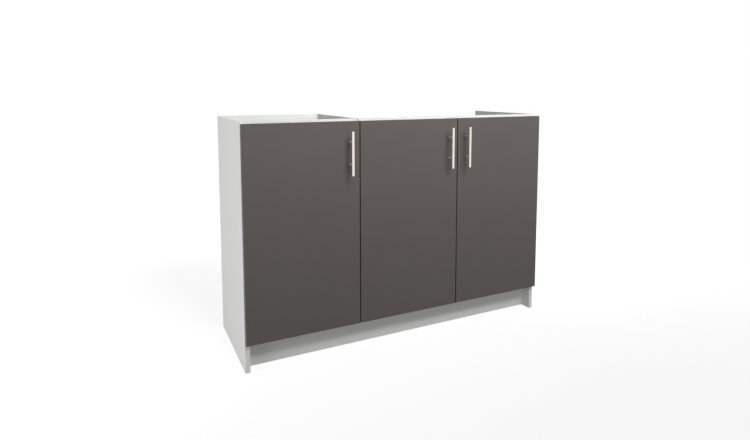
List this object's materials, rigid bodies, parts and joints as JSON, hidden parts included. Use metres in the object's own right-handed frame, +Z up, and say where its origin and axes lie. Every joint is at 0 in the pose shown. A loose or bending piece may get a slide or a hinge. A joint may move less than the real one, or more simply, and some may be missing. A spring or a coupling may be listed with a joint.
{
  "type": "kitchen sink base unit",
  "caption": "Floor-standing kitchen sink base cabinet, white carcass with open top, flat grey doors on cup hinges, bar handles and a recessed plinth.",
  "frame": {"origin": "on the floor, under the middle of the unit's box, handles included", "axes": "+X along the width, from the left side to the right side; +Y from the doors to the rear; +Z up"},
  "size_m": [1.2, 0.4514, 0.82],
  "materials": {
    "white_board": "white melamine-faced chipboard with a fine satin texture and white edging",
    "white_back": "thin hardboard, white lacquered",
    "door_grey": "chipboard faced in dark warm grey satin laminate, edges banded to match",
    "brushed_nickel": "satin nickel plate, brushed along the bar",
    "hinge_nickel": "nickel-plated pressed steel",
    "zinc_steel": "bright zinc-plated steel"
  },
  "bodies": {
    "carcass": {"left_side_panel": "white_board", "right_side_panel": "white_board", "divider_panel": "white_board", "bottom_panel": "white_board", "back_panel": "white_back", "shelf": "white_board", "front_rail_left": "white_board", "front_rail_right": "white_board", "rear_rail": "white_board", "plinth_board": "white_board", "shelf_pin_left_front": "zinc_steel", "shelf_pin_left_rear": "zinc_steel", "shelf_pin_right_front": "zinc_steel", "shelf_pin_right_rear": "zinc_steel", "left_upper_hinge_arm": "hinge_nickel", "left_upper_hinge_plate": "hinge_nickel", "left_lower_hinge_arm": "hinge_nickel", "left_lower_hinge_plate": "hinge_nickel", "middle_upper_hinge_arm": "hinge_nickel", "middle_upper_hinge_plate": "hinge_nickel", "middle_lower_hinge_arm": "hinge_nickel", "middle_lower_hinge_plate": "hinge_nickel", "right_upper_hinge_arm": "hinge_nickel", "right_upper_hinge_plate": "hinge_nickel", "right_lower_hinge_arm": "hinge_nickel", "right_lower_hinge_plate": "hinge_nickel"},
    "left_door_leaf": {"left_door": "door_grey", "left_handle_bar": "brushed_nickel", "left_handle_post_upper": "brushed_nickel", "left_handle_screw_upper": "zinc_steel", "left_upper_hinge_cup": "hinge_nickel", "left_upper_hinge_pin": "zinc_steel", "left_handle_post_lower": "brushed_nickel", "left_handle_screw_lower": "zinc_steel", "left_lower_hinge_cup": "hinge_nickel", "left_lower_hinge_pin": "zinc_steel"},
    "middle_door_leaf": {"middle_door": "door_grey", "middle_handle_bar": "brushed_nickel", "middle_handle_post_upper": "brushed_nickel", "middle_handle_screw_upper": "zinc_steel", "middle_upper_hinge_cup": "hinge_nickel", "middle_upper_hinge_pin": "zinc_steel", "middle_handle_post_lower": "brushed_nickel", "middle_handle_screw_lower": "zinc_steel", "middle_lower_hinge_cup": "hinge_nickel", "middle_lower_hinge_pin": "zinc_steel"},
    "right_door_leaf": {"right_door": "door_grey", "right_handle_bar": "brushed_nickel", "right_handle_post_upper": "brushed_nickel", "right_handle_screw_upper": "zinc_steel", "right_upper_hinge_cup": "hinge_nickel", "right_upper_hinge_pin": "zinc_steel", "right_handle_post_lower": "brushed_nickel", "right_handle_screw_lower": "zinc_steel", "right_lower_hinge_cup": "hinge_nickel", "right_lower_hinge_pin": "zinc_steel"}
  },
  "joints": [
    {"name": "left_door_hinge", "type": "hinge", "parent": "carcass", "child": "left_door_leaf", "pos_m": [-0.5915, -0.18675, 0.4555], "axis": [0, 0, -1], "range_deg": [0, 95]},
    {"name": "middle_door_hinge", "type": "hinge", "parent": "carcass", "child": "middle_door_leaf", "pos_m": [-0.1915, -0.18675, 0.4555], "axis": [0, 0, -1], "range_deg": [0, 95]},
    {"name": "right_door_hinge", "type": "hinge", "parent": "carcass", "child": "right_door_leaf", "pos_m": [0.5915, -0.18675, 0.4555], "axis": [0, 0, 1], "range_deg": [0, 95]}
  ]
}
